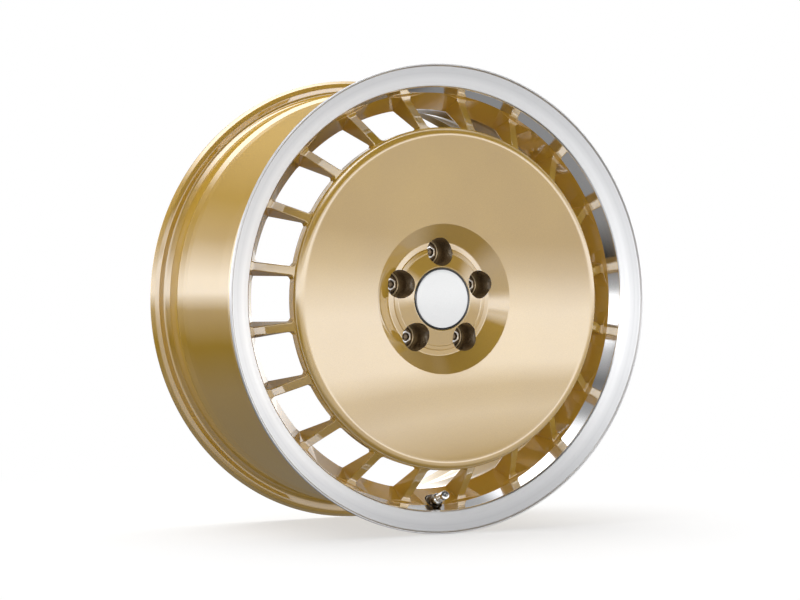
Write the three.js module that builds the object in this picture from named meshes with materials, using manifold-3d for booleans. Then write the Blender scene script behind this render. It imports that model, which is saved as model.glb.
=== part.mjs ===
// One-piece 8J x 18 alloy car wheel with a dished disc, twenty short spokes, five bolts, cap and valve.
// Millimetres. The wheel's axis is Y, its street side faces -Y, and +Z is up.
import * as THREE from 'three';
import { mergeVertices } from 'three/addons/utils/BufferGeometryUtils.js';
import { ConvexGeometry } from 'three/addons/geometries/ConvexGeometry.js';
import Module from 'manifold-3d';

const wasm = await Module();
wasm.setup();

// ---------- Driving dimensions ----------
// "Depth" is measured back from the street-side flange edge, along the axle.
const FLANGE_R = 248.3;            // 18 inch rim, 462 mm bead seats, 17.3 mm J flanges
const RIM_WIDTH = 222.4;           // over both flanges of an 8 inch (203.2 mm) wide rim
const FLANGE_THICK = 9.6;          // flange edge to bead face
const BEAD_SEAT_R = 231;
const SEAT_AT_SPLIT = 230.4;       // radius of the street bead seat where the lip ends
const DISC_PROUD = 11;             // the disc's rim stands this far in front of the flange edge
const MIDDLE = (RIM_WIDTH - DISC_PROUD) / 2;
const HUB_FACE = 76.2;             // depth of the hub mounting face: offset 35 mm
const GAP = 0.3;                   // clearance between neighbouring solids
const ROUND = 40;                  // facets round the wheel
const SMALL_ROUND = 16;            // facets round a bolt, the cap or the valve

const SPOKES = 20;
const SPOKE_PITCH = 360 / SPOKES;
const DISC_R = 181;                // outside of the disc
const HUB_SPLIT_R = 62;            // where the disc section meets the hub section
const LIP_SPLIT = 26.6;            // depth where the polished lip meets the barrel
const WALL_FRONT_R = 219.9;        // the window's outer wall, at the lip
const WALL_BACK_R = 204;           // and at its back edge
const WALL_BACK = 50;

const BOLTS = 5;
const BOLT_CIRCLE_R = 50;
const LUG_BORE_R = 16.5;
const LUG_FLOOR = 50;
const SEAT_R = 13;                 // mouth of the 60 degree bolt seat
const SEAT_END = 59;
const SHANK_HOLE_R = 7.5;
const SHANK_R = 6;                 // M12 x 1.5
const BOLT_HEAD = 39.75;           // depth of the bolt's drive face
const BOLT_END = 102;
const CONE = Math.tan(Math.PI / 6);

const CAP_SEAT_R = 33.4;
const CAP_SEAT = 15.5;
const CAP_BORE_R = 29;
const SPIGOT_R = 34;               // centre bore, before the centring ring
const SPIGOT_RING_R = 28.55;       // 57.1 mm bore left by the centring ring

// The valve stands at six o'clock and leans towards the axle.
const VALVE_BASE = { r: 218.8, depth: 38.9 };
const VALVE_LEAN = 18.5;           // degrees
const VALVE_HOLE_R = 5.75;
const VALVE_WALL = 4.5;

// ---------- Finishes ----------
const FINISH = {
  gold: { color: 0xb08d48, roughness: 0.25, metalness: 1 },
  lip: { color: 0xe2e3e5, roughness: 0.15, metalness: 1 },
  zinc: { color: 0x37322b, roughness: 0.4, metalness: 1 },
  steel: { color: 0xc9c9cb, roughness: 0.25, metalness: 1 },
  silver: { color: 0xe8e8ea, roughness: 0.3, metalness: 0.2 },
  black: { color: 0x161616, roughness: 0.5, metalness: 0 },
  nylon: { color: 0x2a2a2c, roughness: 0.6, metalness: 0 },
  rubber: { color: 0x101010, roughness: 0.8, metalness: 0 },
  brass: { color: 0xb5924c, roughness: 0.3, metalness: 1 },
};

// ---------- Helpers ----------
const at = depth => depth - MIDDLE;
const degrees = THREE.MathUtils.degToRad;

function solid(geometry) {
  const bare = geometry.clone();
  bare.deleteAttribute('normal');
  bare.deleteAttribute('uv');
  const merged = mergeVertices(bare, 1e-4);
  const corners = merged.index.array;
  const kept = [];
  for (let i = 0; i < corners.length; i += 3) {
    const [a, b, c] = [corners[i], corners[i + 1], corners[i + 2]];
    if (a !== b && b !== c && c !== a) kept.push(a, b, c);
  }
  const vertProperties = new Float32Array(merged.attributes.position.array);
  const triVerts = new Uint32Array(kept);
  return new wasm.Manifold(new wasm.Mesh({ numProp: 3, vertProperties, triVerts }));
}

function geometryOf(body) {
  const { vertProperties, triVerts } = body.getMesh();
  const geometry = new THREE.BufferGeometry();
  geometry.setAttribute('position', new THREE.BufferAttribute(new Float32Array(vertProperties), 3));
  geometry.setIndex(new THREE.BufferAttribute(new Uint32Array(triVerts), 1));
  geometry.computeVertexNormals();
  return geometry;
}

// Turns an outline of [radius, height] pairs about Y. The outline is put in the order that makes
// its faces point out, and is closed unless both its ends lie on the axis.
function turned(outline, facets = SMALL_ROUND) {
  const onAxis = outline[0][0] === 0 && outline[outline.length - 1][0] === 0;
  const points = outline.map(([r, h]) => new THREE.Vector2(r, h));
  if (THREE.ShapeUtils.area(points) < 0) points.reverse();
  if (!onAxis) points.push(points[0].clone());
  return solid(new THREE.LatheGeometry(points, facets));
}

// The same for a part of the wheel, whose heights are given as depths.
const ring = (outline, facets = ROUND) => turned(outline.map(([r, depth]) => [r, at(depth)]), facets);

// A cylinder or prism along Y between two heights.
function bar(radius, low, high, facets = SMALL_ROUND) {
  const geometry = new THREE.CylinderGeometry(radius, radius, high - low, facets);
  geometry.translate(0, (low + high) / 2, 0);
  return solid(geometry);
}

const mesh = (name, finish, body) => {
  const material = new THREE.MeshStandardMaterial(FINISH[finish]);
  const item = new THREE.Mesh(geometryOf(body), material);
  item.name = name;
  return item;
};

const number = index => String(index + 1).padStart(2, '0');

// ---------- Rim ----------
const LIP_WALL = [[WALL_FRONT_R, LIP_SPLIT], [224.3, 10.5], [225.7, 9.15]];

// The rim's inside, which the spokes' outer ends meet, and its outside, from the lip to the inboard flange.
const INSIDE = [
  [WALL_FRONT_R, LIP_SPLIT], [WALL_BACK_R, WALL_BACK], [204.5, 60], [204.5, 92], [207.5, 113],
  [219.8, 170], [221.5, 190], [223, 205], [228, 216], [238, RIM_WIDTH],
];
const BEAD_FACE = RIM_WIDTH - FLANGE_THICK;
const OUTSIDE = [
  [SEAT_AT_SPLIT, LIP_SPLIT], [229.8, 34], [231.3, 41], [230.8, 49], [229, 52],
  [211.5, 66], [209.5, 70], [209.5, 91], [213.5, 113], [225.8, 169], [227.6, 177],
  [231, 184], [229.6, 191], [BEAD_SEAT_R, 206], [233, 210.8], [236.5, BEAD_FACE], [241, BEAD_FACE],
  [246, 215.4], [FLANGE_R, 219.5], [FLANGE_R, 221.2], [247.1, RIM_WIDTH],
];

// The rim is one casting, laid out as rings end to end so that each is a simple shape.
const RIM_RINGS = [
  ['street_bead_seat', LIP_SPLIT, 52], ['well_step', 52, 68], ['drop_centre', 68, 113],
  ['rim_barrel', 113, 177], ['inboard_bead_seat', 177, 208], ['inboard_flange', 208, RIM_WIDTH],
];

function outerLip() {
  const band = [[245.6, 2], [246.2, 0.6], [247.2, 0], [FLANGE_R, 1.4], [FLANGE_R, 4]];
  const back = [[246, 7.2], [241, FLANGE_THICK], [236.5, FLANGE_THICK], [232.4, 13]];
  const seat = [[BEAD_SEAT_R, 17], [SEAT_AT_SPLIT, LIP_SPLIT - GAP / 2]];
  const wall = LIP_WALL.map(([r, depth]) => [r, Math.min(depth, LIP_SPLIT - GAP / 2)]);
  return ring([...wall, ...band, ...back, ...seat]);
}

function radiusAt(line, depth) {
  const next = line.findIndex(([, d]) => d >= depth);
  const [[nearR, near], [farR, far]] = [line[next - 1], line[next]];
  return nearR + (farR - nearR) * (depth - near) / (far - near);
}

function rimRing(from, to) {
  const start = from + GAP / 2;
  const end = to === RIM_WIDTH ? to : to - GAP / 2;
  const stretch = line => [
    [radiusAt(line, start), start],
    ...line.filter(([, depth]) => depth > start && depth < end),
    [radiusAt(line, end), end],
  ];
  return ring([...stretch(OUTSIDE), ...stretch(INSIDE).reverse()]);
}

// ---------- Disc and hub ----------
// The disc is dished: its street face is a shallow paraboloid, deepest at the hub.
const dish = r => 11.23 - 0.000755 * r * r;

function faceDisc() {
  const edge = [[180, 10], [DISC_R, 6], [DISC_R, -2.5], [180, -6.5], [177, -9.8], [171.6, dish(171.6)]];
  const front = [150, 125, 103, 83].map(r => [r, dish(r)]);
  const recess = [[79.3, 7.3], [HUB_SPLIT_R + GAP / 2, 15.3]];
  const back = [
    [HUB_SPLIT_R + GAP / 2, 25], [84, dish(84) + 8.5], [125, dish(125) + 8], [160, -0.5], [174, 9],
  ];
  return ring([...edge, ...front, ...recess, ...back]);
}

function hub() {
  const front = [[HUB_SPLIT_R - GAP / 2, 15.3], [57.2, 17.7], [55.4, 17.7], [53.2, 16.6], [34.2, 12.6]];
  const capSeat = [[CAP_SEAT_R, 13.2], [CAP_SEAT_R, CAP_SEAT], [CAP_BORE_R, CAP_SEAT]];
  const bore = [[CAP_BORE_R, 52], [SPIGOT_R, 58], [SPIGOT_R, HUB_FACE - 1], [SPIGOT_R + 1, HUB_FACE]];
  const pad = [[72.5, HUB_FACE], [74, HUB_FACE - 2], [72, 42], [HUB_SPLIT_R - GAP / 2, 26]];
  const body = ring([...front, ...capSeat, ...bore, ...pad]);
  const lug = bar(LUG_BORE_R, at(0), at(LUG_FLOOR), 20).add(turned([
    [0, at(LUG_FLOOR) - 1], [SEAT_R, at(LUG_FLOOR) - 1], [SEAT_R, at(LUG_FLOOR)],
    [SEAT_R - (SEAT_END - LUG_FLOOR) * CONE, at(SEAT_END)],
    [SHANK_HOLE_R, at(SEAT_END)], [SHANK_HOLE_R, at(HUB_FACE + 5)], [0, at(HUB_FACE + 5)],
  ], 20));
  return boltPlaces().reduce((left, [x, z]) => left.subtract(lug.translate([x, 0, z])), body);
}

function boltPlaces() {
  return Array.from({ length: BOLTS }, (_, i) => {
    const turn = degrees(90 + i * 360 / BOLTS);
    return [BOLT_CIRCLE_R * Math.cos(turn), BOLT_CIRCLE_R * Math.sin(turn)];
  });
}

// ---------- Spokes ----------
// The hull of a row of [x, depth, half width] places, each standing on both sides of the spoke's middle.
function wedge(places) {
  const corners = places.flatMap(([x, depth, half]) => [
    new THREE.Vector3(x, at(depth), -half),
    new THREE.Vector3(x, at(depth), half),
  ]);
  return solid(new ConvexGeometry(corners));
}

// A spoke runs from the disc's side to the window's outer wall. Its street face falls back 44 degrees
// from the disc's edge, then turns into a small foot that faces the street. Its sides open out towards
// the back, and a shallow fillet spreads from each side over the wall.
function spoke() {
  const blade = wedge([[178, -4.4, 4.8], [213, 29, 4.3], [178, 5.1, 5.2], [206, 53.5, 9.1]]);
  const foot = wedge([[200, 25, 3], [213, 29, 4.3], [219.5, 30.7, 7], [206, 53.5, 9.1]]);
  const fillet = solid(new ConvexGeometry([
    [209, 36, 3], [216, 30.2, 6.8], [202, 50, 9], [217.5, 27.2, 22], [203, 50, 13],
    [224, 27.2, 22], [224, 31, 6.8], [208, 54, 9], [209, 54, 13],
  ].map(([x, depth, z]) => new THREE.Vector3(x, at(depth), z))));
  const whole = blade.add(foot).add(fillet).add(fillet.mirror([0, 0, 1])).rotate([0, -SPOKE_PITCH / 2, 0]);
  const disc = bar(DISC_R + GAP, at(-30), at(80), ROUND);
  const wall = [...LIP_WALL.toReversed(), ...INSIDE.slice(1).filter(([, depth]) => depth <= 92)];
  const inside = wall.map(([r, depth]) => [r - GAP, at(depth)]);
  const rim = turned([[260, at(0)], ...inside, [260, at(92)]], ROUND);
  return whole.subtract(disc).subtract(rim);
}

// ---------- Bolts ----------
function wheelBolt() {
  const flange = BOLT_HEAD + 4;
  const under = BOLT_HEAD + 7;
  const turnedPart = ring([
    [0, flange], [9.6, flange], [10.4, flange + 0.8], [10.4, under], [SHANK_R, under],
    [SHANK_R, BOLT_END - 1.5], [SHANK_R - 1.5, BOLT_END], [0, BOLT_END],
  ], SMALL_ROUND);
  const drive = bar(7, at(BOLT_HEAD), at(flange + 1), 6);
  const recess = bar(4.4, at(BOLT_HEAD - 1), at(BOLT_HEAD + 3), 12);
  const post = bar(2.3, at(BOLT_HEAD + 0.6), at(BOLT_HEAD + 3.5), 12);
  return drive.add(turnedPart).subtract(recess).add(post);
}

// The loose cone ring under each bolt's flange, which seats in the wheel while the bolt turns in it.
function boltCollar() {
  const top = BOLT_HEAD + 7 + GAP;
  const bottom = SEAT_END - 0.6;
  const outer = SEAT_R - GAP;
  return ring([
    [SHANK_R + GAP, top], [outer, top], [outer, LUG_FLOOR - 0.2],
    [outer - (bottom - LUG_FLOOR + 0.2) * CONE, bottom], [SHANK_R + GAP, bottom],
  ], SMALL_ROUND);
}

// ---------- Centre cap ----------
function centreCap() {
  const plate = [[0, 13.9], [32.9, 13.9], [32.9, CAP_SEAT - GAP], [28.6, CAP_SEAT - GAP]];
  const skirt = [[28.6, 34], [25.8, 34], [25.8, CAP_SEAT + 1.5], [0, CAP_SEAT + 1.5]];
  const clips = 8;
  const slots = Array.from({ length: clips }, (_, i) => {
    const slot = new THREE.BoxGeometry(70, 20, 4);
    slot.translate(0, at(CAP_SEAT + 4) + 10, 0);
    slot.rotateY(degrees(i * 180 / clips));
    return solid(slot);
  });
  return slots.reduce((left, slot) => left.subtract(slot), ring([...plate, ...skirt], 32));
}

const capTrimRing = () => ring([[31.3, 11.3], [32.3, 11], [33, 11.8], [33, 13.6], [31.3, 13.6]], 32);

// A shallow dome that lies inside the trim ring.
const capEmblemDisc = () => ring([[0, 9.8], [12, 10.1], [22, 10.8], [31, 11.8], [31, 13.6], [0, 13.6]], 32);

function capSpringRing() {
  const wire = new THREE.TorusGeometry(24.3, 1, 6, 24);
  wire.rotateX(Math.PI / 2);
  wire.translate(0, at(30), 0);
  return solid(wire);
}

const centringRing = () => ring([
  [SPIGOT_RING_R, 60], [SPIGOT_R - GAP, 60], [SPIGOT_R - GAP, HUB_FACE - 0.6],
  [SPIGOT_RING_R + 1, HUB_FACE - 0.6], [SPIGOT_RING_R, HUB_FACE - 1.6],
], 32);

// ---------- Valve ----------
// The valve's own axis is Y, with its tip towards -Y and the wheel's wall between 0 and VALVE_WALL.
function placeValve(body) {
  const leaned = body.rotate([-VALVE_LEAN, 0, 0]);
  return leaned.translate([0, at(VALVE_BASE.depth), -VALVE_BASE.r]);
}

function valvePockets() {
  const streetPocket = bar(9, -45, 0);
  const hole = bar(VALVE_HOLE_R, -1, VALVE_WALL + 1);
  const tyrePocket = bar(10, VALVE_WALL, 60);
  return placeValve(streetPocket.add(hole).add(tyrePocket));
}

function valveParts() {
  const stem = turned([
    [2.1, 11.5], [8, 11.5], [8, 8.2], [5.3, 8.2], [5.3, -18.8], [3.9, -20.2], [3.9, -30], [2.1, -30],
  ], 16);
  const grommet = turned([[5.6, -0.3], [8.4, -0.3], [8.4, -3.2], [7, -5.4], [5.6, -5.4]], 16);
  const tyreSeal = turned([[5.6, VALVE_WALL + 0.3], [8.6, VALVE_WALL + 0.3], [8.6, 7.9], [5.6, 7.9]], 16);
  const sleeve = bar(6.3, -19.4, -12, 16);
  const nut = bar(7.3, -12.4, -6.9, 6).add(sleeve).subtract(bar(5.6, -21, -5, 16));
  const washer = turned([[5.6, -5.7], [8.2, -5.7], [8.2, -6.6], [5.6, -6.6]], 16);
  const core = turned([[0.9, -10], [1.8, -10], [1.8, -28.5], [0.9, -28.5]], 12);
  const pin = turned([[0, -8], [0.6, -8], [0.6, -30.6], [0, -30.6]], 12);
  const seal = turned([[2.4, -30.3], [3.9, -30.3], [3.9, -31.4], [2.4, -31.4]], 16);
  const cap = turned([
    [4.2, -22], [4.8, -22], [4.8, -35.2], [4, -36.2], [0, -36.2], [0, -31.7], [4.2, -31.7],
  ], 16);
  return { stem, grommet, tyreSeal, nut, washer, core, pin, seal, cap };
}

// ---------- Assembly ----------
const wheel = new THREE.Group();

const pockets = valvePockets();
wheel.add(mesh('outer_lip', 'lip', outerLip().subtract(pockets)));
for (const [name, from, to] of RIM_RINGS) {
  wheel.add(mesh(name, 'gold', rimRing(from, to).subtract(pockets)));
}
wheel.add(mesh('face_disc', 'gold', faceDisc()));
wheel.add(mesh('hub', 'gold', hub()));

const spokeShape = spoke();
for (let i = 0; i < SPOKES; i += 1) {
  const item = mesh(`spoke_${number(i)}`, 'gold', spokeShape);
  item.rotation.y = -degrees(i * SPOKE_PITCH);
  wheel.add(item);
}

const boltShape = wheelBolt();
const collarShape = boltCollar();
boltPlaces().forEach(([x, z], i) => {
  const bolt = mesh(`wheel_bolt_${i + 1}`, 'steel', boltShape);
  const collar = mesh(`bolt_collar_${i + 1}`, 'zinc', collarShape);
  bolt.position.set(x, 0, z);
  collar.position.set(x, 0, z);
  wheel.add(bolt, collar);
});

wheel.add(mesh('centre_cap', 'nylon', centreCap()));
wheel.add(mesh('cap_trim_ring', 'black', capTrimRing()));
wheel.add(mesh('cap_emblem_disc', 'silver', capEmblemDisc()));
wheel.add(mesh('cap_spring_ring', 'steel', capSpringRing()));
wheel.add(mesh('centring_ring', 'nylon', centringRing()));

const valve = valveParts();
wheel.add(mesh('valve_stem', 'steel', placeValve(valve.stem)));
wheel.add(mesh('valve_grommet', 'rubber', placeValve(valve.grommet)));
wheel.add(mesh('valve_tyre_seal', 'rubber', placeValve(valve.tyreSeal)));
wheel.add(mesh('valve_washer', 'steel', placeValve(valve.washer)));
wheel.add(mesh('valve_nut', 'zinc', placeValve(valve.nut)));
wheel.add(mesh('valve_core', 'brass', placeValve(valve.core)));
wheel.add(mesh('valve_core_pin', 'brass', placeValve(valve.pin)));
wheel.add(mesh('valve_cap_seal', 'rubber', placeValve(valve.seal)));
wheel.add(mesh('valve_cap', 'steel', placeValve(valve.cap)));

export default wheel;
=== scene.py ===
"""Looks of the alloy wheel: smooth pieces stand for the faceted CAD solids, with metallic paint, polished
metal, zinc, nylon and rubber made from nodes, on a pale floor under soft studio light."""

import math

import bmesh
import bpy
from mathutils import Matrix, Vector


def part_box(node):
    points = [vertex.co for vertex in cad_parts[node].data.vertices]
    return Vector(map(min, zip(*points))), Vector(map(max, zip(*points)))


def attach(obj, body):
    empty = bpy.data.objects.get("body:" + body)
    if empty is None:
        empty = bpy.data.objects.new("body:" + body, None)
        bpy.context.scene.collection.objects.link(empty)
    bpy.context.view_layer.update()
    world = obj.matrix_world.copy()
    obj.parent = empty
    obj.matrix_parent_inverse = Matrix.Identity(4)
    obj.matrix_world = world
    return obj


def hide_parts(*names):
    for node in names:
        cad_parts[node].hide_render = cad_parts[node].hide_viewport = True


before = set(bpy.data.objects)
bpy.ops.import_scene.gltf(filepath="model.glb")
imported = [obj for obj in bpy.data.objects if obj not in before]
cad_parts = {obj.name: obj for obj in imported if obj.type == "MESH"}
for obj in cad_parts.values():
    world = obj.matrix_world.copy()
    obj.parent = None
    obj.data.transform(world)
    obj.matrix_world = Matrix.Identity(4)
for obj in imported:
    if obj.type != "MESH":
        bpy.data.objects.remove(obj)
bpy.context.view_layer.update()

# ---------- Measures ----------
# Outlines are in millimetres: a radius from the axle and a depth back from the street-side flange edge.
# So are the sizes here, apart from STREET and GROUND, the places of that edge and of the ground in metres.
MM = 0.001
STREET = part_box("outer_lip")[0].y
INBOARD = (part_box("inboard_flange")[1].y - STREET) / MM
FLANGE_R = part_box("outer_lip")[1].z / MM
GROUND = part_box("outer_lip")[0].z
DISC_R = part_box("face_disc")[1].z / MM
HUB_FACE = (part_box("hub")[1].y - STREET) / MM
LIP_END = 26.6
WALL_R = 219.9
DISH_DEPTH = 11.23
DISH_RATE = 0.000755
DISC_ROLL_R = 172.8
DISC_ROLL_DEPTH = -2.9
SPOKES = 20
SPOKE_ROOT_R = 180
SPOKE_FOOT_R = 213
SPOKE_RUN = SPOKE_FOOT_R - SPOKE_ROOT_R
BOLT_CIRCLE_R = 50
BOLTS = 5
LUG_BORE_R = 15.1
SHANK_R = 5.95
BOLT_HEAD = (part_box("wheel_bolt_1")[0].y - STREET) / MM
BOLT_END = (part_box("wheel_bolt_1")[1].y - STREET) / MM
THREAD_PITCH = 1.5
VALVE_R = 218.8
VALVE_DEPTH = 38.9
VALVE_LEAN = math.radians(18.5)
VALVE_POCKET_R = 9

# Points round the wheel, round the cap and round a bolt or a valve piece.
ROUND = 288
CAP_ROUND = 128
SMALL_ROUND = 64
HEX_ROUND = 48

# The photograph's camera: metres and degrees, and a shift as a share of the picture's width.
CAMERA_AZIMUTH = -28.94
CAMERA_DISTANCE = 2.3402
CAMERA_LENS = 99.69
CAMERA_SHIFT = (-0.0597, -0.0015)
STUDIO_STRENGTH = 10
FLOOR_R = 60
FLOOR_GAP = 0.0002


# ---------- Mesh helpers ----------
def outline(*corners, steps=5):
    """Closed outline through (radius, depth) or (radius, depth, fillet) corners, each fillet an arc."""
    points = []
    for i, corner in enumerate(corners):
        here = Vector(corner[:2])
        if len(corner) < 3:
            points.append(tuple(here))
            continue
        before = Vector(corners[i - 1][:2]) - here
        after = Vector(corners[(i + 1) % len(corners)][:2]) - here
        half = before.angle(after) / 2
        reach = min(corner[2] / math.tan(half), 0.48 * before.length, 0.48 * after.length)
        radius = reach * math.tan(half)
        centre = here + (before.normalized() + after.normalized()).normalized() * radius / math.sin(half)
        start = here + before.normalized() * reach - centre
        end = here + after.normalized() * reach - centre
        first = math.atan2(start.y, start.x)
        sweep = (math.atan2(end.y, end.x) - first + math.pi) % (2 * math.pi) - math.pi
        for k in range(steps + 1):
            turn = first + sweep * k / steps
            points.append((centre.x + radius * math.cos(turn), centre.y + radius * math.sin(turn)))
    return points


def strip(bm, row, other):
    """Quads between two closed rows of as many points; a row of one point makes triangles."""
    for k in range(max(len(row), len(other))):
        here = (row[k % len(row)], row[(k + 1) % len(row)])
        there = (other[(k + 1) % len(other)], other[k % len(other)])
        face = list(dict.fromkeys(here + there))
        if len(face) > 2:
            bm.faces.new(face)


def spin(bm, points, segments, place):
    """Closed turned shell from an outline; place(radius, depth, turn) gives each vertex."""
    rows = []
    for r, depth in points:
        if r < 1e-6:
            rows.append([bm.verts.new(place(0, depth, 0))])
        else:
            turns = (2 * math.pi * k / segments for k in range(segments))
            rows.append([bm.verts.new(place(r, depth, turn)) for turn in turns])
    for row, after in zip(rows, rows[1:] + rows[:1]):
        if len(row) > 1 or len(after) > 1:
            strip(bm, row, after)


def loft(bm, rows):
    """Closed shell through rows of as many points, with a cap on each end."""
    verts = [[bm.verts.new(p) for p in row] for row in rows]
    for row, after in zip(verts, verts[1:]):
        strip(bm, row, after)
    bm.faces.new(verts[0])
    bm.faces.new(verts[-1])


def about_axle(r, depth, turn):
    """Places a piece turned round the wheel's axle, at a depth back from the street-side edge."""
    return Vector((r * math.cos(turn) * MM, STREET + depth * MM, r * math.sin(turn) * MM))


def at_bolt(i):
    """Places a piece turned round bolt i's own axis, at depths of the wheel. Bolt 0 is at the top."""
    turn = math.radians(90 + 360 / BOLTS * i)
    centre = Vector((BOLT_CIRCLE_R * math.cos(turn), 0, BOLT_CIRCLE_R * math.sin(turn))) * MM
    return lambda r, depth, angle: centre + about_axle(r, depth, angle)


def along_valve(r, height, turn):
    """The valve's own axis: height runs from the wheel's wall towards the valve's tip."""
    out = Vector((0, -math.cos(VALVE_LEAN), math.sin(VALVE_LEAN)))
    side = Vector((0, math.sin(VALVE_LEAN), math.cos(VALVE_LEAN)))
    across = Vector((r * math.cos(turn), 0, 0)) + side * (r * math.sin(turn))
    return Vector((0, STREET + VALVE_DEPTH * MM, -VALVE_R * MM)) + (across + out * height) * MM


def piece(name, bm, *materials, crease=35):
    """A smooth-shaded object from a bmesh, with sharp edges where it bends more than the crease angle."""
    bmesh.ops.remove_doubles(bm, verts=bm.verts, dist=1e-7)
    bmesh.ops.recalc_face_normals(bm, faces=bm.faces)
    mesh = bpy.data.meshes.new(name)
    bm.to_mesh(mesh)
    bm.free()
    obj = bpy.data.objects.new(name, mesh)
    bpy.context.scene.collection.objects.link(obj)
    for material in materials:
        mesh.materials.append(material)
    smooth(obj, crease)
    return obj


def smooth(obj, crease):
    obj.data.shade_smooth()
    obj.data.set_sharp_from_angle(angle=math.radians(crease))


def turned(name, points, *materials, segments=SMALL_ROUND, place=about_axle, crease=35):
    bm = bmesh.new()
    spin(bm, points, segments, place)
    return piece(name, bm, *materials, crease=crease)


def dress(obj, chosen):
    """Gives the object's second material to the faces whose centre is chosen."""
    for face in obj.data.polygons:
        if chosen(face.center):
            face.material_index = 1


def carve(obj, *tools, crease=35):
    """Cuts the tools out of the object. Their faces keep the tools' own materials."""
    for tool in tools:
        cut = obj.modifiers.new("cut", "BOOLEAN")
        cut.operation = "DIFFERENCE"
        cut.solver = "EXACT"
        cut.object = tool
        cut.material_mode = "TRANSFER"
    shape = bpy.data.meshes.new_from_object(obj.evaluated_get(bpy.context.evaluated_depsgraph_get()))
    obj.modifiers.clear()
    obj.data = shape
    for tool in tools:
        bpy.data.objects.remove(tool)
    smooth(obj, crease)


def joined(name, *objects):
    """One object from several, keeping their materials and sharp edges."""
    bpy.ops.object.select_all(action="DESELECT")
    for obj in objects:
        obj.select_set(True)
    bpy.context.view_layer.objects.active = objects[0]
    bpy.ops.object.join()
    objects[0].name = name
    return objects[0]


def settle(obj, body, slot, *nodes):
    """The piece rides on its body, stands for its CAD nodes and is shaded with weighted normals."""
    soften = obj.modifiers.new("weighted normals", "WEIGHTED_NORMAL")
    soften.keep_sharp = True
    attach(obj, body)
    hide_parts(*nodes)


# ---------- Materials ----------
def surface(name, color, metallic, roughness, **sockets):
    """A Principled material; sockets such as Coat_Weight are set straight on the shader."""
    material = bpy.data.materials.new(name)
    material.use_nodes = True
    shader = material.node_tree.nodes["Principled BSDF"]
    shader.inputs["Base Color"].default_value = (*color, 1)
    shader.inputs["Metallic"].default_value = metallic
    shader.inputs["Roughness"].default_value = roughness
    for socket, value in sockets.items():
        shader.inputs[socket.replace("_", " ")].default_value = value
    return material


def node(material, kind, **inputs):
    """A shader node with its inputs set by name."""
    made = material.node_tree.nodes.new(kind)
    for name, value in inputs.items():
        made.inputs[name.replace("_", " ")].default_value = value
    return made


def link(material, output, target):
    material.node_tree.links.new(output, target)


def object_noise(material, scale, detail=3, stretch=(1, 1, 1)):
    """Noise fixed to the object, whose scale is in features a metre."""
    coords = node(material, "ShaderNodeTexCoord")
    mapping = node(material, "ShaderNodeMapping", Scale=stretch)
    noise = node(material, "ShaderNodeTexNoise", Scale=scale, Detail=detail)
    link(material, coords.outputs["Object"], mapping.inputs["Vector"])
    link(material, mapping.outputs["Vector"], noise.inputs["Vector"])
    return noise.outputs["Fac"]


def spread(material, value, low, high, start=0.3, end=0.7):
    """Maps a value between start and end to a number between low and high."""
    ranged = node(material, "ShaderNodeMapRange", From_Min=start, From_Max=end, To_Min=low, To_Max=high)
    link(material, value, ranged.inputs["Value"])
    return ranged.outputs["Result"]


def tint(material, value, dark, light):
    """Blends two colours by a value from 0 to 1 and gives the blend."""
    mix = material.node_tree.nodes.new("ShaderNodeMix")
    mix.data_type = "RGBA"
    colour_inputs = [s for s in mix.inputs if s.type == "RGBA"]
    colour_inputs[0].default_value = (*dark, 1)
    colour_inputs[1].default_value = (*light, 1)
    link(material, value, mix.inputs[0])
    return next(s for s in mix.outputs if s.type == "RGBA")


def relief(material, height, strength, distance, target="Normal"):
    """Bumps the surface, or its coat, by a height."""
    bump = node(material, "ShaderNodeBump", Strength=strength, Distance=distance)
    link(material, height, bump.inputs["Height"])
    shader = material.node_tree.nodes["Principled BSDF"]
    link(material, bump.outputs["Normal"], shader.inputs[target])


def feed(material, target, value):
    """Feeds a value or a colour to the material's shader."""
    link(material, value, material.node_tree.nodes["Principled BSDF"].inputs[target])


def gold_paint():
    """Gold flake paint under a strong clear coat."""
    paint = surface(
        "gold_paint", (0.63, 0.415, 0.065), 1, 0.75, Coat_Weight=1, Coat_Roughness=0.03, Coat_IOR=2.6)
    flake = spread(paint, object_noise(paint, 2600, 1), 0, 1)
    cloud = object_noise(paint, 9, 2)
    feed(paint, "Base Color", tint(paint, flake, (0.58, 0.375, 0.055), (0.68, 0.455, 0.075)))
    feed(paint, "Roughness", spread(paint, cloud, 0.71, 0.79))
    relief(paint, object_noise(paint, 160, 1), 0.03, 0.0004, "Coat Normal")
    return paint


def bore_metal_and_shade():
    """The rougher inside of the bores and the valve's pockets, with tool marks round them; its colour, darker
    than the paint, is painted shade of the deep holes.
    """
    metal = surface("lug_bore_metal_with_painted_shade", (0.5, 0.39, 0.24), 1, 0.3, Coat_Weight=0.6, Coat_Roughness=0.08)
    tool_marks = object_noise(metal, 220, 2, stretch=(1, 6, 1))
    feed(metal, "Roughness", spread(metal, tool_marks, 0.24, 0.44))
    relief(metal, tool_marks, 0.08, 0.0003)
    return metal


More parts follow.
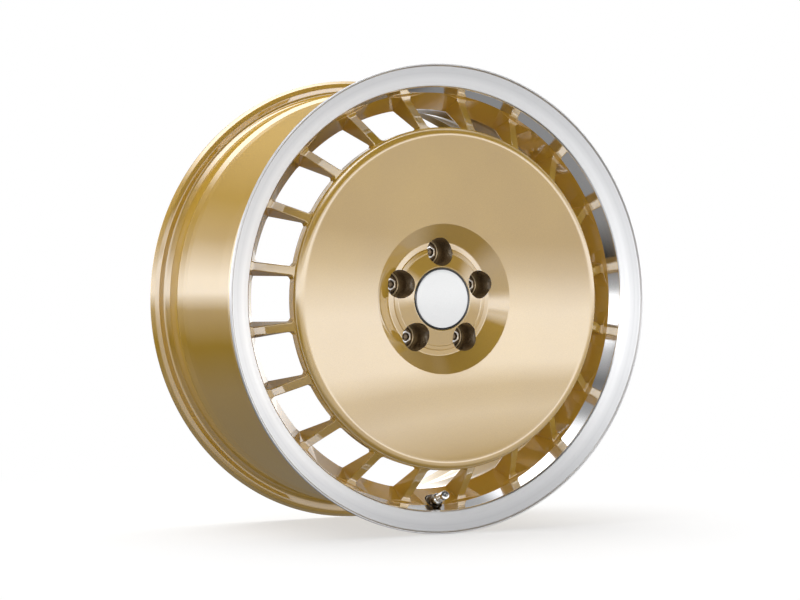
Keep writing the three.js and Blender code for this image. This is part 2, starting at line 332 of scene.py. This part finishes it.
def polished_metal():
    """Turned metal: mirror bright on the window's wall, satin with fine grooves on the flange's face."""
    metal = surface("polished_lip", (0.83, 0.84, 0.86), 1, 0.16, Coat_Weight=1, Coat_Roughness=0.02)
    coords = node(metal, "ShaderNodeTexCoord")
    parts = node(metal, "ShaderNodeSeparateXYZ")
    link(metal, coords.outputs["Object"], parts.inputs["Vector"])
    flat = node(metal, "ShaderNodeCombineXYZ")
    link(metal, parts.outputs["X"], flat.inputs["X"])
    link(metal, parts.outputs["Z"], flat.inputs["Z"])
    radius = node(metal, "ShaderNodeVectorMath")
    radius.operation = "LENGTH"
    link(metal, flat.outputs["Vector"], radius.inputs[0])
    grooves = node(metal, "ShaderNodeTexNoise", Scale=900, Detail=2)
    grooves.noise_dimensions = "1D"
    link(metal, radius.outputs["Value"], grooves.inputs["W"])
    satin = spread(metal, radius.outputs["Value"], 0.12, 0.5, start=0.2245, end=0.2265)
    waver = spread(metal, grooves.outputs["Fac"], 0.85, 1.2)
    blend = node(metal, "ShaderNodeMath")
    blend.operation = "MULTIPLY"
    link(metal, satin, blend.inputs[0])
    link(metal, waver, blend.inputs[1])
    feed(metal, "Roughness", blend.outputs["Value"])
    # Painted reflection: the outer band of the flange's face is greyer, standing in for the darker
    # surroundings it mirrors.
    dark_reflection_band = spread(metal, radius.outputs["Value"], 0, 1, start=0.233, end=0.239)
    feed(metal, "Base Color", tint(metal, dark_reflection_band, (0.86, 0.865, 0.88), (0.72, 0.725, 0.74)))
    relief(metal, grooves.outputs["Fac"], 0.05, 0.0002)
    return metal


def plated(name, color, roughness, grain=400):
    """Plated or plain metal with slight wear."""
    metal = surface(name, color, 1, roughness)
    wear = object_noise(metal, grain, 3)
    feed(metal, "Roughness", spread(metal, wear, roughness * 0.7, roughness * 1.4))
    relief(metal, wear, 0.06, 0.0002)
    return metal


def moulded(name, color, roughness, grain, strength=0.15, coat=0.0):
    """Plastic or rubber with a fine moulded texture."""
    plastic = surface(name, color, 0, roughness, Coat_Weight=coat, Coat_Roughness=0.04)
    texture = object_noise(plastic, grain, 4)
    feed(plastic, "Roughness", spread(plastic, texture, roughness * 0.85, min(1, roughness * 1.2)))
    relief(plastic, texture, strength, 0.0003)
    return plastic


def plate_lacquer():
    """The cap's silver-white plate under a clear coat."""
    plate = surface("silver_plate", (0.76, 0.765, 0.77), 0, 0.3, Coat_Weight=1, Coat_Roughness=0.05)
    pearl = spread(plate, object_noise(plate, 1500, 1), 0, 1)
    cloud = object_noise(plate, 30, 2)
    feed(plate, "Base Color", tint(plate, pearl, (0.74, 0.745, 0.75), (0.78, 0.785, 0.79)))
    feed(plate, "Roughness", spread(plate, cloud, 0.29, 0.31))
    return plate


GOLD = gold_paint()
# Painted shade: the bores and the valve's pockets take this darker metal in place of the gold paint.
BORE_SHADE = bore_metal_and_shade()
LIP = polished_metal()
STEEL = plated("bolt_steel", (0.72, 0.72, 0.73), 0.28, grain=150)
ZINC = plated("dark_zinc", (0.15, 0.115, 0.08), 0.3, grain=200)
NYLON = moulded("black_nylon", (0.035, 0.035, 0.04), 0.5, 900)
TRIM = moulded("black_gloss", (0.015, 0.015, 0.016), 0.25, 500, strength=0.03, coat=1)
PLATE = plate_lacquer()
NICKEL = plated("nickel", (0.78, 0.77, 0.75), 0.14)
RUBBER = moulded("valve_rubber", (0.018, 0.018, 0.018), 0.65, 1200, strength=0.25)
BRASS = plated("brass", (0.72, 0.52, 0.24), 0.25)


# ---------- Rim, disc and hub ----------
def dish(r):
    """Depth of the disc's hollow street face at a radius."""
    return DISH_DEPTH - DISH_RATE * r * r


def rim_shell():
    """The rim behind the bright lip: window wall, barrel, inboard flange, bead seats and drop centre."""
    inside = [
        (WALL_R, LIP_END), (204, 50, 1.2), (204.5, 60, 8), (204.5, 92, 20), (207.5, 113, 20),
        (219.8, 170, 12), (221.5, 190, 12), (223, 205, 5), (228.2, 216, 6), (238, INBOARD, 1.5)]
    outside = [
        (247.2, INBOARD, 0.8), (FLANGE_R, 221, 0.8), (FLANGE_R, 219.4, 1), (245.6, 215, 4), (241.2, 212.8, 4),
        (234.6, 212.8, 4), (231, 206.4, 4), (229.6, 191, 5), (230.4, 187.4, 2), (231.4, 184.2, 1.6),
        (227.7, 177.8, 1.2), (225.9, 171.5, 5), (213.5, 113, 30), (209.5, 91, 20), (209.5, 71, 5),
        (211.5, 66, 5), (229.2, 52, 3), (231, 49, 2), (231.4, 41, 2.5), (229.8, 34, 6), (230.4, LIP_END)]
    return turned("rim_shell", outline(*inside, *outside), GOLD, segments=ROUND, crease=40)


def disc_shell():
    """The dished disc with its rolled edge, the recess in its middle, and the hub behind it."""
    roll = DISC_R - DISC_ROLL_R
    start = math.atan2(-0.968, -0.25)
    edge = []
    for k in range(13):
        turn = start - start * k / 12
        edge.append((DISC_ROLL_R + roll * math.cos(turn), DISC_ROLL_DEPTH + roll * math.sin(turn)))
    front = [(r, dish(r)) for r in range(84, 171, 5)]
    middle = outline(
        (29, 15.5, 0.4), (33.4, 15.5, 0.4), (33.4, 12.1, 0.3), (34.3, 11.9, 0.4), (49.7, 16.9, 0.5),
        (50.6, 16.5, 0.4), (54.3, 17.4, 0.5), (54.9, 18.3, 0.5), (60.6, 18.9, 2), (79.6, dish(79.6), 2),
        (84, dish(84)))[:-1]
    back = outline(
        (170, dish(170)), (DISC_R, 9.8, 1.2), (174.4, 9.8, 1.4), (168.5, 2.6, 5), (160, -0.8, 6),
        (125, dish(125) + 8, 20), (84, dish(84) + 8.5, 6), (66, 28, 4), (71.2, 42, 6),
        (74, HUB_FACE - 2, 0.8), (72.6, HUB_FACE, 0.6), (35, HUB_FACE, 0.4), (34, HUB_FACE - 1, 0.4),
        (34, 58.5, 2), (29, 52, 2), (29, 17))[1:]
    return turned("disc_shell", [*middle, *front, *edge, *back], GOLD, segments=ROUND, crease=40)


def lug_tool(i):
    """The space of one bolt: a wide bore, the bolt's cone seat and the shank hole."""
    return turned(f"lug_tool_{i}", outline(
        (0, -20), (LUG_BORE_R, -20), (LUG_BORE_R, 50, 1.2), (13, 50, 0.3), (7.5, 59.4), (7.5, HUB_FACE - 0.8),
        (8.6, HUB_FACE + 0.4), (8.6, HUB_FACE + 5), (0, HUB_FACE + 5)), BORE_SHADE, place=at_bolt(i), segments=96)


def valve_tool(name, low, high, radius):
    """A cylinder along the valve's axis, to cut its pocket or its hole."""
    return turned(name, [(0, low), (radius, low), (radius, high), (0, high)], BORE_SHADE, place=along_valve)


def spoke_section(front, back, corner=1.3):
    """A rounded section across a spoke, between a front and a back edge of (radius, depth, half width)."""
    f, b = Vector(front[:2]), Vector(back[:2])
    length = (b - f).length
    flat = outline(
        (front[2], 0, corner), (back[2], length, corner), (-back[2], length, corner), (-front[2], 0, corner),
        steps=3)
    return [(f + (b - f) * (s / length), side) for side, s in flat]


def spoke_front(r):
    """Depth and half width of a spoke's street face: it falls to the wall, then turns into a small foot."""
    bend = 1.8
    fall = -2.5 + (r - SPOKE_ROOT_R) * 31.5 / SPOKE_RUN
    foot = 29 + (r - SPOKE_FOOT_R) * 0.26
    if r < SPOKE_FOOT_R - bend:
        depth = fall
    elif r > SPOKE_FOOT_R + bend:
        depth = foot
    else:
        share = (r - SPOKE_FOOT_R + bend) / (2 * bend)
        depth = fall + (foot - fall) * share - 0.6 * share * (1 - share)
    if r < SPOKE_FOOT_R:
        return depth, 4.8 - 0.5 * (r - SPOKE_ROOT_R) / SPOKE_RUN
    return depth, 4.3 + (r - SPOKE_FOOT_R) * 0.43


def spoke_rows():
    """A spoke's sections from inside the disc to inside the wall, with a fillet where it leaves the disc."""
    stations = (178.2, 180.6, 181.2, 182, 183, 184.2, 190, 197, 204, 208, 211.2, 212, 213, 214, 214.8, 216.4,
                218.2, 220)
    fillet = 3.2
    rows = []
    for r in stations:
        depth, half = spoke_front(r)
        share = min(1, (r - SPOKE_ROOT_R) / SPOKE_RUN)
        beyond = max(0, r - SPOKE_FOOT_R)
        back_r = SPOKE_ROOT_R + 24 * share + 0.3 * beyond
        back_depth = 8.6 + 41.4 * share + 0.5 * beyond
        back_half = 5.4 + 3.4 * share + 0.08 * beyond
        reach = min(1, max(0, (r - DISC_R) / fillet))
        flare = fillet * (1 - math.sqrt(1 - (1 - reach) ** 2))
        rows.append(spoke_section((r, depth, half + flare), (back_r, back_depth, back_half + flare)))
    return rows


def fillet_rows(side):
    """The shallow web that spreads from a spoke's side over the wall, from its front end to its back edge."""
    under = Vector((1.6, 1.2, 0))
    rows = []
    for k in range(9):
        share = k / 8
        crest = Vector((216.6 - 13 * share, 30 + 19.2 * share, 6.5 + 2.3 * share))
        foot = Vector((218.4 - 14.7 * share, 27.2 + 22.8 * share, 22 - 10 * share))
        root = crest + (crest - foot).normalized() * 3
        corners = (root, crest, foot, foot + under, root + under)
        rows.append([(Vector(corner[:2]), side * corner[2]) for corner in corners])
    return rows


def spoke_shells():
    """All the spokes with their webs. Each reaches a little into the disc and the rim."""
    bm = bmesh.new()
    for i in range(SPOKES):
        turn = math.radians(360 / SPOKES * (i + 0.5))
        out = Vector((math.cos(turn), 0, math.sin(turn)))
        across = Vector((-math.sin(turn), 0, math.cos(turn)))

        def place(p, t):
            return (out * p.x + across * t) * MM + Vector((0, STREET + p.y * MM, 0))

        for rows in (spoke_rows(), fillet_rows(-1), fillet_rows(1)):
            loft(bm, [[place(p, t) for p, t in row] for row in rows])
    return piece("spoke_shells", bm, GOLD)


def wheel_casting():
    """Disc, hub, rim and spokes, which are one piece of metal on the real wheel."""
    disc = disc_shell()
    carve(disc, *[lug_tool(i) for i in range(BOLTS)])
    rim = rim_shell()
    carve(rim, valve_tool("pocket", 0, 45, VALVE_POCKET_R), valve_tool("tyre_pocket", -60, -4.5, 10),
          valve_tool("valve_hole", -6, 2, 5.75), crease=40)
    casting = joined("wheel_casting", disc, rim, spoke_shells())
    rings = (
        "street_bead_seat", "well_step", "drop_centre", "rim_barrel", "inboard_bead_seat", "inboard_flange")
    spokes = [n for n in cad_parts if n.startswith("spoke_")]
    settle(casting, "root", "gold_paint", *rings, "face_disc", "hub", *spokes)


def polished_lip():
    """The street-side flange: bright in front and on the window's wall, gold on the tyre's side."""
    end = LIP_END - 0.02
    lip = turned("polished_lip", outline(
        (WALL_R, end), (224.3, 10.5, 1.5), (225.9, 9.1, 0.6), (236, 5.4, 20), (245.7, 2, 0.5),
        (247.2, 0, 0.7), (FLANGE_R, 0.6, 0.7), (FLANGE_R, 3.8, 1.2), (245.6, 7.4, 3), (241.2, 9.6, 3),
        (234.6, 9.6, 4), (231, 16, 4), (230.4, end)), LIP, GOLD, segments=ROUND, crease=40)

    def tyre_side(centre):
        r = math.hypot(centre.x, centre.z) / MM
        depth = (centre.y - STREET) / MM
        middle_of_metal = 3.5 + (245.7 - r) * 0.36
        return depth > 3.8 and r > 229 and depth > middle_of_metal

    dress(lip, tyre_side)
    carve(lip, valve_tool("lip_pocket", 0, 45, VALVE_POCKET_R), crease=40)
    settle(lip, "root", "polished_lip", "outer_lip")


# ---------- Bolts and their collars ----------
def hex_row(radius, depth, place):
    """A hexagon's outline with slightly eased corners, drawn with many points."""
    row = []
    for k in range(HEX_ROUND):
        turn = 2 * math.pi * k / HEX_ROUND
        from_flat = (turn + math.pi / 6) % (math.pi / 3) - math.pi / 6
        flat = radius * math.cos(math.pi / 6) / math.cos(from_flat)
        row.append(place(min(flat, radius * 0.985), depth, turn))
    return row


def bolt_shank():
    """Half outline of a bolt's shank and its thread, drawn as ring grooves at the thread's pitch."""
    points = [(0, BOLT_HEAD + 8), (SHANK_R, BOLT_HEAD + 8), (SHANK_R, HUB_FACE - 4)]
    depth = HUB_FACE - 4
    while depth < BOLT_END - 3:
        points += [(SHANK_R, depth + 0.1), (5.15, depth + 0.65), (5.15, depth + 0.85), (SHANK_R, depth + 1.4)]
        depth += THREAD_PITCH
    return [*points, (5, BOLT_END - 1), (4.4, BOLT_END), (0, BOLT_END)]


def wheel_bolt(i):
    """A bolt with a hexagonal drive, a recess with a post in it and a flange, in its loose cone collar."""
    place = at_bolt(i)
    head = BOLT_HEAD
    flange = head + 4
    bm = bmesh.new()
    rim_of_head = ((6.95, flange + 0.6), (6.95, head + 0.45), (6.8, head + 0.12), (6.5, head))
    recess = ((4.6, head + 0.02), (4.4, head + 0.25), (4.4, head + 3), (2.5, head + 3), (2.4, head + 0.9),
              (2.1, head + 0.6), (1, head + 0.6))
    turns = [2 * math.pi * k / HEX_ROUND for k in range(HEX_ROUND)]
    outside = [hex_row(r, depth, place) for r, depth in rim_of_head]
    inside = [[place(r, depth, turn) for turn in turns] for r, depth in recess]
    loft(bm, [*outside, *inside])
    spin(bm, outline(
        (0, flange), (9.3, flange, 0.4), (10.4, flange + 1.1, 0.4), (10.4, head + 7, 0.2), (6.2, head + 7),
        (6.2, head + 9), (0, head + 9)), SMALL_ROUND, place)
    spin(bm, bolt_shank(), 32, place)
    bolt = piece(f"bolt_{i + 1}", bm, STEEL, ZINC, crease=30)

    def from_head(centre):
        """Distance from the bolt's axis and depth behind its head, in millimetres."""
        away = (centre - place(0, head, 0)) / MM
        return math.hypot(away.x, away.z), away.y

    def post_or_flange(centre):
        r, depth = from_head(centre)
        return depth > 1 or r < 3

    # Painted highlight: the collar's chamfered rim takes bright steel to show a thin light ring.
    def highlight_rim(centre):
        r, depth = from_head(centre)
        return depth < 8.2 and r > 11.8

    dress(bolt, post_or_flange)
    settle(bolt, f"bolt_{i + 1}", "bolt_steel", f"wheel_bolt_{i + 1}")
    collar = turned(f"collar_{i + 1}", outline(
        (6.4, head + 7.4, 0.2), (11.7, head + 7.4, 0.3), (12.6, head + 8.3, 0.3), (12.6, 49.8, 0.3),
        (7.8, 58.3, 0.3), (6.4, 58.3)), ZINC, STEEL, place=place)
    dress(collar, highlight_rim)
    settle(collar, f"collar_{i + 1}", "dark_zinc", f"bolt_collar_{i + 1}")


# ---------- Centre cap ----------
def cap_slot(k, slots=8):
    """A bar across the cap's clip wall: each cuts two of the slots between its clips."""
    bm = bmesh.new()
    turn = Matrix.Rotation(math.pi * k / slots, 4, "Y")
    bmesh.ops.create_cube(bm, size=1)
    for v in bm.verts:
        v.co = turn @ Vector((v.co.x * 0.07, STREET + (30 + v.co.y * 20) * MM, v.co.z * 0.004))
    return piece(f"slot_{k}", bm, NYLON)


def centre_cap():
    """The push-in cap with its clips, trim ring, plain plate and wire ring, and the hub's centring ring."""
    body = turned("cap_body", outline(
        (0, 13.9), (32.8, 13.9, 0.3), (32.8, 15.2, 0.3), (28.6, 15.2, 0.3), (28.6, 24, 0.3), (29, 27, 0.6),
        (28.2, 31, 0.8), (28.2, 34, 0.4), (25.8, 34, 0.4), (25.8, 17.2, 0.6), (0, 17.2)),
        NYLON, segments=CAP_ROUND)
    carve(body, *[cap_slot(k) for k in range(8)])
    settle(body, "cap", "black_nylon", "centre_cap")
    trim = turned("cap_trim", outline(
        (31.3, 11.35, 0.15), (32.3, 11, 0.25), (33, 11.7, 0.3), (33, 13.6, 0.2), (31.3, 13.6)),
        TRIM, segments=192)
    settle(trim, "cap", "black_gloss", "cap_trim_ring")
    plate = turned("cap_plate", outline(
        (0, 9.8), (10, 10, 30), (20, 10.55, 30), (28.5, 11.3, 10), (30.9, 11.75, 0.3), (31, 13.6), (0, 13.6)),
        PLATE, segments=192)
    settle(plate, "cap", "silver_plate", "cap_emblem_disc")
    bm = bmesh.new()
    turns = [2 * math.pi * k / 12 for k in range(12)]
    spin(bm, [(24.3 + 0.95 * math.cos(turn), 30 + 0.8 * math.sin(turn)) for turn in turns], 96, about_axle)
    settle(piece("cap_wire", bm, STEEL), "cap", "bolt_steel", "cap_spring_ring")
    ring = turned("spigot_ring", outline(
        (28.6, 60, 0.5), (33.6, 60, 0.3), (33.6, HUB_FACE - 0.6, 0.3), (29.8, HUB_FACE - 0.6, 0.5),
        (28.6, HUB_FACE - 1.8, 0.3)), NYLON, segments=CAP_ROUND)
    settle(ring, "root", "black_nylon", "centring_ring")


# ---------- Valve ----------
def valve_part(name, body, slot, node_name, material, *corners):
    made = turned(name, outline(*corners), material, place=along_valve)
    settle(made, body, slot, node_name)


def dust_cap():
    """The valve's screw cap, with three grip grooves and a hollow inside."""
    wall, groove = 4.78, 4.5
    points = [(4.25, 22.1), (4.6, 22.1), (wall, 22.4), (wall, 24)]
    for k in range(3):
        start = 24.6 + 2.6 * k
        points += [(wall, start), (groove, start + 0.25), (groove, start + 0.8), (wall, start + 1.05)]
    points += [(wall, 34.9), (4.3, 35.8), (3.6, 36.15), (2, 36.15), (1.6, 35.4), (0, 35.3)]
    bm = bmesh.new()
    spin(bm, [*points, (0, 31.75), (4.25, 31.75)], SMALL_ROUND, along_valve)
    settle(piece("dust_cap", bm, NICKEL), "valve_cap", "nickel", "valve_cap")


def hex_nut():
    """The valve's clamp nut: a dark hexagon and sleeve with a nickel end."""
    bm = bmesh.new()
    turns = [2 * math.pi * k / HEX_ROUND for k in range(HEX_ROUND)]
    hexagon = ((6.5, 6.95), (7.2, 7.4), (7.2, 12), (6.7, 12.35))
    sleeve = ((6.25, 12.5), (6.25, 18.5), (5.9, 19.3), (5.6, 19.3), (5.55, 19.1), (5.55, 6.95))
    rings = [hex_row(r, height, along_valve) for r, height in hexagon]
    rings += [[along_valve(r, height, turn) for turn in turns] for r, height in sleeve]
    rows = [[bm.verts.new(p) for p in ring] for ring in rings]
    for row, after in zip(rows, rows[1:] + rows[:1]):
        strip(bm, row, after)
    nut = piece("hex_nut", bm, ZINC, NICKEL, crease=25)
    end = along_valve(0, 18.4, 0)
    outward = along_valve(0, 19.4, 0) - end
    dress(nut, lambda centre: (centre - end).dot(outward) > 0)
    settle(nut, "root", "dark_zinc", "valve_nut")


def valve():
    """The clamp-in valve. Heights are along its own axis, from the rim's wall to the street side."""
    valve_part("stem", "root", "nickel", "valve_stem", NICKEL,
               (2.1, -11.4), (8, -11.4, 0.8), (8, -8.2, 0.6), (5.2, -8.2, 0.3), (5.2, 18.8, 0.3),
               (3.8, 20.1, 0.3), (3.8, 29.9, 0.3), (2.1, 29.9, 0.2))
    valve_part("grommet", "root", "valve_rubber", "valve_grommet", RUBBER,
               (5.6, 0.3), (8.4, 0.3, 0.6), (8.4, 3.2, 0.8), (7, 5.4, 0.6), (5.6, 5.4))
    valve_part("tyre_seal", "root", "valve_rubber", "valve_tyre_seal", RUBBER,
               (5.6, -4.8), (8.6, -4.8, 0.5), (8.6, -7.9, 0.9), (5.6, -7.9))
    valve_part("washer", "root", "nickel", "valve_washer", NICKEL,
               (5.6, 5.7), (8.1, 5.7, 0.2), (8.1, 6.6, 0.2), (5.6, 6.6))
    valve_part("core", "root", "brass", "valve_core", BRASS,
               (0.9, 10.2), (1.8, 10.2), (1.8, 28.4, 0.2), (0.9, 28.4))
    valve_part("core_tip", "core_pin", "brass", "valve_core_pin", BRASS,
               (0, 8.2), (0.6, 8.2), (0.6, 30.5, 0.2), (0, 30.5))
    valve_part("cap_gasket", "cap_seal", "valve_rubber", "valve_cap_seal", RUBBER,
               (2.4, 30.35), (3.9, 30.35, 0.3), (3.9, 31.35, 0.3), (2.4, 31.35))
    dust_cap()
    hex_nut()


wheel_casting()
polished_lip()
for index in range(BOLTS):
    wheel_bolt(index)
centre_cap()
valve()


# ---------- Studio ----------
def ramp_through(tree, value, points):
    """A colour ramp that gives each (input, output) pair, linear between them."""
    ramp = tree.nodes.new("ShaderNodeValToRGB")
    low, high = points[0][0], points[-1][0]
    scale = tree.nodes.new("ShaderNodeMapRange")
    scale.inputs["From Min"].default_value = low
    scale.inputs["From Max"].default_value = high
    tree.links.new(value, scale.inputs["Value"])
    tree.links.new(scale.outputs["Result"], ramp.inputs["Fac"])
    ramp.color_ramp.interpolation = "LINEAR"
    stops = ramp.color_ramp.elements
    for k, (x, y) in enumerate(points):
        place = (x - low) / (high - low)
        stop = stops[k] if k < 2 else stops.new(place)
        stop.position = place
        stop.color = (y, y, y, 1)
    return ramp.outputs["Color"]


def calculate(tree, operation, a, b=None):
    """A math node between two values, each a number or another node's output."""
    made = tree.nodes.new("ShaderNodeMath")
    made.operation = operation
    for socket, value in zip(made.inputs, (a, b)):
        if value is None:
            continue
        if isinstance(value, (int, float)):
            socket.default_value = value
        else:
            tree.links.new(value, socket)
    return made.outputs["Value"]


def lerp(tree, low, high, share):
    """From low to high by a share from 0 to 1."""
    step = calculate(tree, "MULTIPLY", calculate(tree, "SUBTRACT", high, low), share)
    return calculate(tree, "ADD", low, step)


def studio_world():
    """Soft light that varies with elevation, with one band in front, one behind and one to the right.

    The camera itself sees plain white.
    """
    world = bpy.data.worlds.new("studio")
    bpy.context.scene.world = world
    world.use_nodes = True
    tree = world.node_tree
    tree.nodes.clear()
    coords = tree.nodes.new("ShaderNodeTexCoord")
    parts = tree.nodes.new("ShaderNodeSeparateXYZ")
    tree.links.new(coords.outputs["Generated"], parts.inputs["Vector"])
    x, y, z = (parts.outputs[a] for a in "XYZ")
    degrees = 180 / math.pi
    elevation = calculate(tree, "MULTIPLY", calculate(tree, "ARCSINE", z), degrees)
    towards_street = calculate(tree, "MULTIPLY", y, -1)
    azimuth = calculate(tree, "MULTIPLY", calculate(tree, "ARCTAN2", x, towards_street), degrees)
    front = ramp_through(tree, elevation, [
        (-90, 0.01), (-50, 0.02), (-35, 0.1), (-8, 0.11), (-4, 0.17), (-1, 0.26), (2, 0.33), (9, 0.32),
        (12, 0.18), (13.5, 0.18), (15.5, 0.21), (19, 0.14), (24, 0.01), (40, 0.01), (90, 0.0)])
    back = ramp_through(tree, elevation, [
        (-90, 0.04), (-30, 0.03), (-16, 0.0), (-4, 0.06), (0, 0.22), (2, 0.33), (7, 0.32), (20, 0.08),
        (32, 0.02), (44, 0.05), (58, 0.42), (90, 0.52)])
    right = ramp_through(tree, elevation, [
        (-90, 0.04), (-30, 0.03), (-16, 0.0), (-4, 0.06), (0, 0.2), (2, 0.3), (7, 0.3), (20, 0.08),
        (32, 0.05), (46, 0.05), (60, 0.35), (90, 0.45)])
    facing = ramp_through(tree, azimuth, [
        (-180, 0), (-70, 0), (-30, 1), (40, 1), (70, 0.75), (120, 0), (180, 0)])
    rightward = ramp_through(tree, x, [(-1, 0), (-0.1, 0), (0.3, 1), (1, 1)])
    behind_wheel = lerp(tree, back, right, rightward)
    mixed = lerp(tree, behind_wheel, front, facing)
    light = tree.nodes.new("ShaderNodeBackground")
    tree.links.new(calculate(tree, "MULTIPLY", mixed, STUDIO_STRENGTH), light.inputs["Strength"])
    behind = tree.nodes.new("ShaderNodeBackground")
    behind.inputs["Strength"].default_value = 1
    behind.inputs["Color"].default_value = (1, 1, 1, 1)
    path = tree.nodes.new("ShaderNodeLightPath")
    pick = tree.nodes.new("ShaderNodeMixShader")
    tree.links.new(path.outputs["Is Camera Ray"], pick.inputs["Fac"])
    tree.links.new(light.outputs["Background"], pick.inputs[1])
    tree.links.new(behind.outputs["Background"], pick.inputs[2])
    output = tree.nodes.new("ShaderNodeOutputWorld")
    tree.links.new(pick.outputs["Shader"], output.inputs["Surface"])


def studio_floor():
    """A pale floor that turns white away from the wheel, so that it has no edge."""
    bm = bmesh.new()
    bmesh.ops.create_circle(bm, cap_ends=True, radius=FLOOR_R, segments=96)
    floor = piece("studio_floor", bm)
    floor.location.z = GROUND - FLOOR_GAP
    paint = surface("pale_floor", (0.96, 0.96, 0.96), 0, 0.9)
    tree = paint.node_tree
    shader = tree.nodes["Principled BSDF"]
    # The default emission is white with a strength of 1, as the world is to the camera.
    glow = tree.nodes.new("ShaderNodeEmission")
    coords = tree.nodes.new("ShaderNodeTexCoord")
    far = tree.nodes.new("ShaderNodeVectorMath")
    far.operation = "LENGTH"
    tree.links.new(coords.outputs["Object"], far.inputs[0])
    fade = tree.nodes.new("ShaderNodeMapRange")
    fade.interpolation_type = "SMOOTHSTEP"
    fade.inputs["From Min"].default_value = 0.1
    fade.inputs["From Max"].default_value = 0.9
    fade.inputs["To Min"].default_value = 0.55
    tree.links.new(far.outputs["Value"], fade.inputs["Value"])
    mix = tree.nodes.new("ShaderNodeMixShader")
    tree.links.new(fade.outputs["Result"], mix.inputs["Fac"])
    tree.links.new(shader.outputs["BSDF"], mix.inputs[1])
    tree.links.new(glow.outputs["Emission"], mix.inputs[2])
    tree.links.new(mix.outputs["Shader"], tree.nodes["Material Output"].inputs["Surface"])
    floor.data.materials.append(paint)
    floor.visible_glossy = False


def studio_camera():
    """Level with the axle, as in the photograph."""
    azimuth = math.radians(CAMERA_AZIMUTH)
    target = Vector((0, STREET, 0))
    away = Vector((math.sin(azimuth), -math.cos(azimuth), 0))
    data = bpy.data.cameras.new("studio_camera")
    camera = bpy.data.objects.new("studio_camera", data)
    bpy.context.scene.collection.objects.link(camera)
    camera.location = target + away * CAMERA_DISTANCE
    camera.rotation_mode = "QUATERNION"
    camera.rotation_quaternion = (-away).to_track_quat("-Z", "Y")
    data.lens = CAMERA_LENS
    data.sensor_width = 36
    data.shift_x, data.shift_y = CAMERA_SHIFT
    bpy.context.scene.camera = camera


studio_world()
studio_floor()
studio_camera()
bpy.context.scene.view_settings.view_transform = "Standard"
